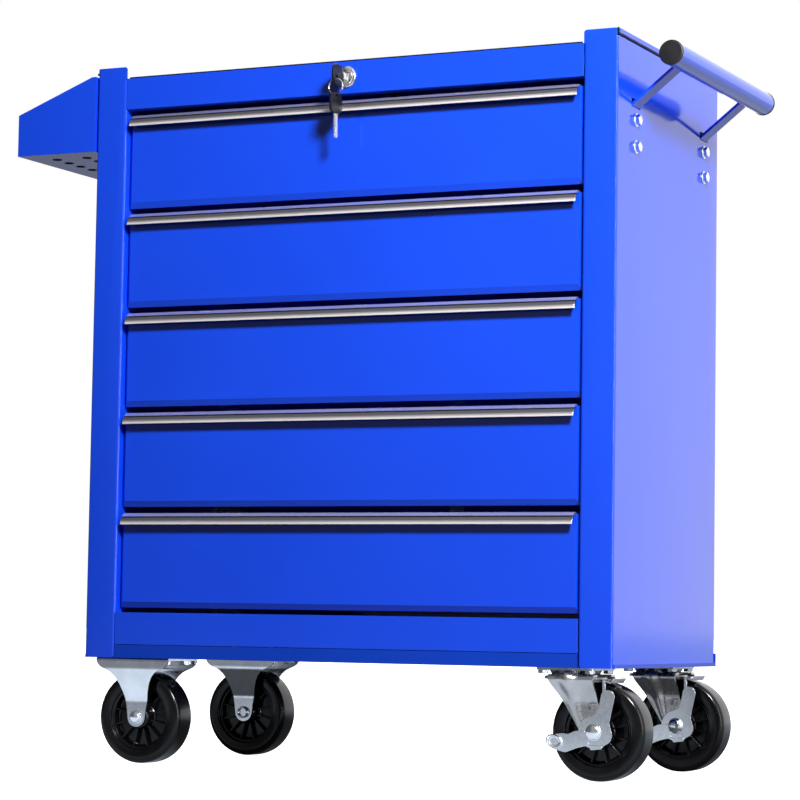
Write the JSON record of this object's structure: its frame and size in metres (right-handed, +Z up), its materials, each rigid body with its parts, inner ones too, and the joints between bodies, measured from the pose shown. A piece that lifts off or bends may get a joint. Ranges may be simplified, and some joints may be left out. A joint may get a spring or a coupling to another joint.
{
  "type": "rolling tool cabinet",
  "caption": "Rolling steel tool cabinet with sliding drawers, a push handle, a perforated side tray, a key lock, and casters fixed on one side and swivelling with brakes on the other.",
  "frame": {"origin": "middle of the whole object's box, on the floor", "axes": "+X to the push handle's side, +Y to the back, +Z up"},
  "size_m": [0.7845, 0.3492, 0.764],
  "materials": {
    "cabinet_paint": "glossy powder coat with a fine orange peel",
    "drawer_paint": "semi-gloss powder coat inside the drawers",
    "zinc_steel": "bright zinc plate, slightly brushed along the slide",
    "pull_aluminium": "satin anodised extrusion with drawn lines",
    "black_plastic": "matt moulded plastic",
    "bolt_zinc": "bright zinc-plated hardware",
    "caster_zinc": "bright blue-white zinc plate on pressed steel",
    "wheel_black": "glossy moulded polypropylene",
    "chrome": "polished chrome",
    "key_metal": "nickel-plated blade with a black moulded head"
  },
  "bodies": {
    "cabinet": {"left_side_panel": "cabinet_paint", "right_side_panel": "cabinet_paint", "back_panel": "cabinet_paint", "top_tray": "cabinet_paint", "bottom_pan": "cabinet_paint", "top_front_rail": "cabinet_paint", "bottom_front_rail": "cabinet_paint", "rear_uprights": "zinc_steel", "slide_rails": "zinc_steel", "handle_tube": "cabinet_paint", "handle_end_caps": "black_plastic", "handle_brackets": "cabinet_paint", "m6_hex_bolts": "bolt_zinc", "side_tray": "cabinet_paint", "fixed_caster_forks": "caster_zinc", "fixed_caster_axles": "bolt_zinc", "swivel_plates": "caster_zinc", "caster_bolts": "bolt_zinc", "lock_housing": "chrome", "lock_bar_guides": "zinc_steel"},
    "drawer_1": {"drawer_1_box": "drawer_paint", "drawer_1_front": "cabinet_paint", "drawer_1_pull": "pull_aluminium", "drawer_1_runners": "zinc_steel"},
    "drawer_1_cages": {"drawer_1_ball_cages": "zinc_steel"},
    "drawer_2": {"drawer_2_box": "drawer_paint", "drawer_2_front": "cabinet_paint", "drawer_2_pull": "pull_aluminium", "drawer_2_runners": "zinc_steel"},
    "drawer_2_cages": {"drawer_2_ball_cages": "zinc_steel"},
    "drawer_3": {"drawer_3_box": "drawer_paint", "drawer_3_front": "cabinet_paint", "drawer_3_pull": "pull_aluminium", "drawer_3_runners": "zinc_steel"},
    "drawer_3_cages": {"drawer_3_ball_cages": "zinc_steel"},
    "drawer_4": {"drawer_4_box": "drawer_paint", "drawer_4_front": "cabinet_paint", "drawer_4_pull": "pull_aluminium", "drawer_4_runners": "zinc_steel"},
    "drawer_4_cages": {"drawer_4_ball_cages": "zinc_steel"},
    "drawer_5": {"drawer_5_box": "drawer_paint", "drawer_5_front": "cabinet_paint", "drawer_5_pull": "pull_aluminium", "drawer_5_runners": "zinc_steel"},
    "drawer_5_cages": {"drawer_5_ball_cages": "zinc_steel"},
    "left_front_wheel": {"left_front_wheel": "wheel_black"},
    "front_swivel": {"front_swivel_fork": "caster_zinc", "front_swivel_axle": "bolt_zinc"},
    "right_front_wheel": {"right_front_wheel": "wheel_black"},
    "front_brake": {"front_brake_lever": "caster_zinc"},
    "left_rear_wheel": {"left_rear_wheel": "wheel_black"},
    "rear_swivel": {"rear_swivel_fork": "caster_zinc", "rear_swivel_axle": "bolt_zinc"},
    "right_rear_wheel": {"right_rear_wheel": "wheel_black"},
    "rear_brake": {"rear_brake_lever": "caster_zinc"},
    "lock_cylinder": {"lock_plug": "chrome", "lock_rod": "zinc_steel"},
    "lock_bar": {"lock_bar": "zinc_steel"},
    "key": {"key": "key_metal"},
    "key_ring": {"key_ring": "chrome"}
  },
  "joints": [
    {"name": "drawer_1_slide", "type": "slide", "parent": "cabinet", "child": "drawer_1", "axis": [0, -1, 0], "range_m": [0, 0.205]},
    {"name": "drawer_1_cage_roll", "type": "slide", "parent": "cabinet", "child": "drawer_1_cages", "axis": [0, -1, 0], "range_m": [0, 0.1025]},
    {"name": "drawer_2_slide", "type": "slide", "parent": "cabinet", "child": "drawer_2", "axis": [0, -1, 0], "range_m": [0, 0.205]},
    {"name": "drawer_2_cage_roll", "type": "slide", "parent": "cabinet", "child": "drawer_2_cages", "axis": [0, -1, 0], "range_m": [0, 0.1025]},
    {"name": "drawer_3_slide", "type": "slide", "parent": "cabinet", "child": "drawer_3", "axis": [0, -1, 0], "range_m": [0, 0.205]},
    {"name": "drawer_3_cage_roll", "type": "slide", "parent": "cabinet", "child": "drawer_3_cages", "axis": [0, -1, 0], "range_m": [0, 0.1025]},
    {"name": "drawer_4_slide", "type": "slide", "parent": "cabinet", "child": "drawer_4", "axis": [0, -1, 0], "range_m": [0, 0.205]},
    {"name": "drawer_4_cage_roll", "type": "slide", "parent": "cabinet", "child": "drawer_4_cages", "axis": [0, -1, 0], "range_m": [0, 0.1025]},
    {"name": "drawer_5_slide", "type": "slide", "parent": "cabinet", "child": "drawer_5", "axis": [0, -1, 0], "range_m": [0, 0.205]},
    {"name": "drawer_5_cage_roll", "type": "slide", "parent": "cabinet", "child": "drawer_5_cages", "axis": [0, -1, 0], "range_m": [0, 0.1025]},
    {"name": "left_front_wheel_roll", "type": "hinge", "parent": "cabinet", "child": "left_front_wheel", "pos_m": [-0.23125, -0.1066, 0.05], "axis": [0, 1, 0], "continuous": true},
    {"name": "front_caster_swivel", "type": "hinge", "parent": "cabinet", "child": "front_swivel", "pos_m": [0.27275, -0.1066, 0.106], "axis": [0, 0, 1], "continuous": true},
    {"name": "right_front_wheel_roll", "type": "hinge", "parent": "front_swivel", "child": "right_front_wheel", "pos_m": [0.30275, -0.1066, 0.05], "axis": [0, 1, 0], "continuous": true},
    {"name": "front_brake_press", "type": "hinge", "parent": "front_swivel", "child": "front_brake", "pos_m": [0.30275, -0.1326, 0.05], "axis": [0, 1, 0], "range_deg": [-4, 0]},
    {"name": "left_rear_wheel_roll", "type": "hinge", "parent": "cabinet", "child": "left_rear_wheel", "pos_m": [-0.23125, 0.1384, 0.05], "axis": [0, 1, 0], "continuous": true},
    {"name": "rear_caster_swivel", "type": "hinge", "parent": "cabinet", "child": "rear_swivel", "pos_m": [0.27275, 0.1384, 0.106], "axis": [0, 0, 1], "continuous": true},
    {"name": "right_rear_wheel_roll", "type": "hinge", "parent": "rear_swivel", "child": "right_rear_wheel", "pos_m": [0.30275, 0.1384, 0.05], "axis": [0, 1, 0], "continuous": true},
    {"name": "rear_brake_press", "type": "hinge", "parent": "rear_swivel", "child": "rear_brake", "pos_m": [0.30275, 0.1124, 0.05], "axis": [0, 1, 0], "range_deg": [-4, 0]},
    {"name": "lock_turn", "type": "hinge", "parent": "cabinet", "child": "lock_cylinder", "pos_m": [0.01775, -0.1416, 0.7338], "axis": [0, 1, 0], "range_deg": [0, 90]},
    {"name": "lock_bar_drop", "type": "slide", "parent": "cabinet", "child": "lock_bar", "axis": [0, 0, -1], "range_m": [0, 0.008]},
    {"name": "key_pull", "type": "slide", "parent": "lock_cylinder", "child": "key", "axis": [0, -1, 0], "range_m": [0, 0.04]},
    {"name": "key_ring_swing", "type": "hinge", "parent": "key", "child": "key_ring", "pos_m": [0.01775, -0.1666, 0.7291], "axis": [1, 0, 0], "range_deg": [-60, 0]}
  ],
  "couplings": [
    {"joint": "drawer_1_cage_roll", "follows": "drawer_1_slide", "ratio": 0.5},
    {"joint": "drawer_2_cage_roll", "follows": "drawer_2_slide", "ratio": 0.5},
    {"joint": "drawer_3_cage_roll", "follows": "drawer_3_slide", "ratio": 0.5},
    {"joint": "drawer_4_cage_roll", "follows": "drawer_4_slide", "ratio": 0.5},
    {"joint": "drawer_5_cage_roll", "follows": "drawer_5_slide", "ratio": 0.5},
    {"joint": "lock_turn", "follows": "lock_bar_drop", "rad_per_m": 196.34}
  ]
}
